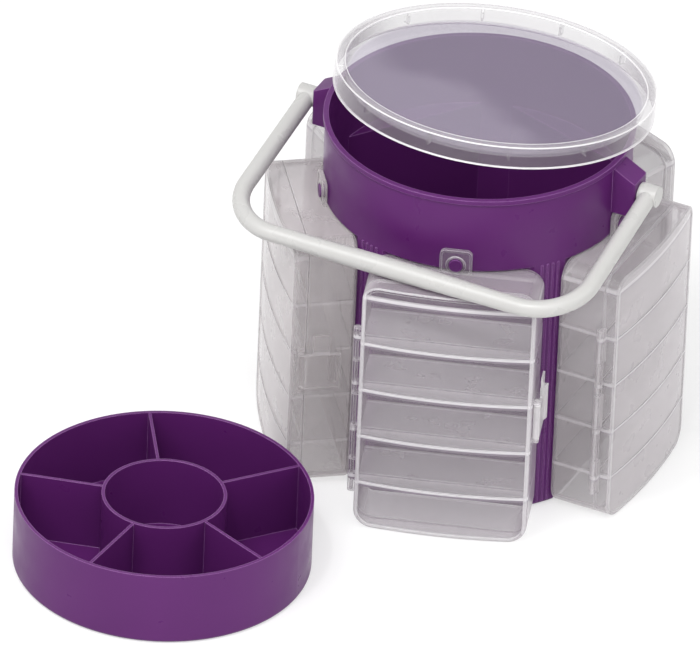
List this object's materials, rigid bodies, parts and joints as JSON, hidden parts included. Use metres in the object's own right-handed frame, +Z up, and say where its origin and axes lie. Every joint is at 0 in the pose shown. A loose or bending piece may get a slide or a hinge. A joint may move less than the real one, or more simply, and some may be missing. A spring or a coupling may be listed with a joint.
{
  "type": "bead storage caddy",
  "caption": "Round tub with a swinging handle, hinged bead boxes hung round it, a clear lid lying loose on its rim and a divided tray standing beside it.",
  "frame": {"origin": "on the tub's axis, on the surface that the tub stands on", "axes": "+Z up, +X along the handle's pivot axis, -Y to the front where the handle lies parked"},
  "size_m": [0.3011, 0.4246, 0.2502],
  "materials": {
    "purple_plastic": "moulded, satin gloss",
    "white_plastic": "moulded, satin gloss",
    "clear_plastic": "clear moulded plastic",
    "frosted_plastic": "frosted translucent plastic",
    "milky_plastic": "milky translucent plastic"
  },
  "bodies": {
    "tub": {"tub": "purple_plastic"},
    "handle": {"handle": "white_plastic"},
    "top_lid": {"top_lid": "clear_plastic"},
    "tray": {"tray": "purple_plastic"},
    "right_box_case": {"right_box_case": "frosted_plastic", "right_box_hinge_pin": "frosted_plastic"},
    "right_box_lid": {"right_box_lid": "frosted_plastic"},
    "right_box_latch": {"right_box_latch": "milky_plastic"},
    "back_right_box_case": {"back_right_box_case": "frosted_plastic", "back_right_box_hinge_pin": "frosted_plastic"},
    "back_right_box_lid": {"back_right_box_lid": "frosted_plastic"},
    "back_right_box_latch": {"back_right_box_latch": "milky_plastic"},
    "back_left_box_case": {"back_left_box_case": "frosted_plastic", "back_left_box_hinge_pin": "frosted_plastic"},
    "back_left_box_lid": {"back_left_box_lid": "frosted_plastic"},
    "back_left_box_latch": {"back_left_box_latch": "milky_plastic"},
    "left_box_case": {"left_box_case": "frosted_plastic", "left_box_hinge_pin": "frosted_plastic"},
    "left_box_lid": {"left_box_lid": "frosted_plastic"},
    "left_box_latch": {"left_box_latch": "milky_plastic"},
    "front_box_case": {"front_box_case": "frosted_plastic", "front_box_hinge_pin": "frosted_plastic"},
    "front_box_lid": {"front_box_lid": "frosted_plastic"},
    "front_box_latch": {"front_box_latch": "milky_plastic"}
  },
  "joints": [
    {"name": "handle_swing", "type": "hinge", "parent": "tub", "child": "handle", "pos_m": [0, 0, 0.1972], "axis": [-1, 0, 0], "range_deg": [0, 160]},
    {"name": "top_lid_lift", "type": "slide", "parent": "tub", "child": "top_lid", "axis": [0, 0, 1], "range_m": [0, 0.12]},
    {"name": "tray_lift", "type": "slide", "parent": "tub", "child": "tray", "axis": [0, 0, 1], "range_m": [0, 0.12]},
    {"name": "right_box_pull", "type": "slide", "parent": "tub", "child": "right_box_case", "axis": [1, 0, 0], "range_m": [0, 0.06]},
    {"name": "right_lid_swing", "type": "hinge", "parent": "right_box_case", "child": "right_box_lid", "pos_m": [0.1075, -0.0536, 0], "axis": [0, 0, -1], "range_deg": [0, 120]},
    {"name": "right_latch_swing", "type": "hinge", "parent": "right_box_lid", "child": "right_box_latch", "pos_m": [0.1105, 0.0533, 0], "axis": [0, 0, -1], "range_deg": [0, 60]},
    {"name": "back_right_box_pull", "type": "slide", "parent": "tub", "child": "back_right_box_case", "axis": [0.309, 0.9511, 0], "range_m": [0, 0.06]},
    {"name": "back_right_lid_swing", "type": "hinge", "parent": "back_right_box_case", "child": "back_right_box_lid", "pos_m": [0.0842, 0.08568, 0], "axis": [0, 0, -1], "range_deg": [0, 120]},
    {"name": "back_right_latch_swing", "type": "hinge", "parent": "back_right_box_lid", "child": "back_right_box_latch", "pos_m": [-0.01655, 0.12156, 0], "axis": [0, 0, -1], "range_deg": [0, 60]},
    {"name": "back_left_box_pull", "type": "slide", "parent": "tub", "child": "back_left_box_case", "axis": [-0.809, 0.5878, 0], "range_m": [0, 0.06]},
    {"name": "back_left_lid_swing", "type": "hinge", "parent": "back_left_box_case", "child": "back_left_box_lid", "pos_m": [-0.05546, 0.10655, 0], "axis": [0, 0, -1], "range_deg": [0, 120]},
    {"name": "back_left_latch_swing", "type": "hinge", "parent": "back_left_box_lid", "child": "back_left_box_latch", "pos_m": [-0.12072, 0.02183, 0], "axis": [0, 0, -1], "range_deg": [0, 60]},
    {"name": "left_box_pull", "type": "slide", "parent": "tub", "child": "left_box_case", "axis": [-0.809, -0.5878, 0], "range_m": [0, 0.015]},
    {"name": "left_lid_swing", "type": "hinge", "parent": "left_box_case", "child": "left_box_lid", "pos_m": [-0.11847, -0.01982, 0], "axis": [0, 0, -1], "range_deg": [0, 120]},
    {"name": "left_latch_swing", "type": "hinge", "parent": "left_box_lid", "child": "left_box_latch", "pos_m": [-0.05807, -0.10807, 0], "axis": [0, 0, -1], "range_deg": [0, 60]},
    {"name": "front_box_pull", "type": "slide", "parent": "tub", "child": "front_box_case", "axis": [0.309, -0.9511, 0], "range_m": [0, 0.009]},
    {"name": "front_lid_swing", "type": "hinge", "parent": "front_box_case", "child": "front_box_lid", "pos_m": [-0.01776, -0.1188, 0], "axis": [0, 0, -1], "range_deg": [0, 90]},
    {"name": "front_latch_swing", "type": "hinge", "parent": "front_box_lid", "child": "front_box_latch", "pos_m": [0.08484, -0.08862, 0], "axis": [0, 0, -1], "range_deg": [0, 60]}
  ]
}
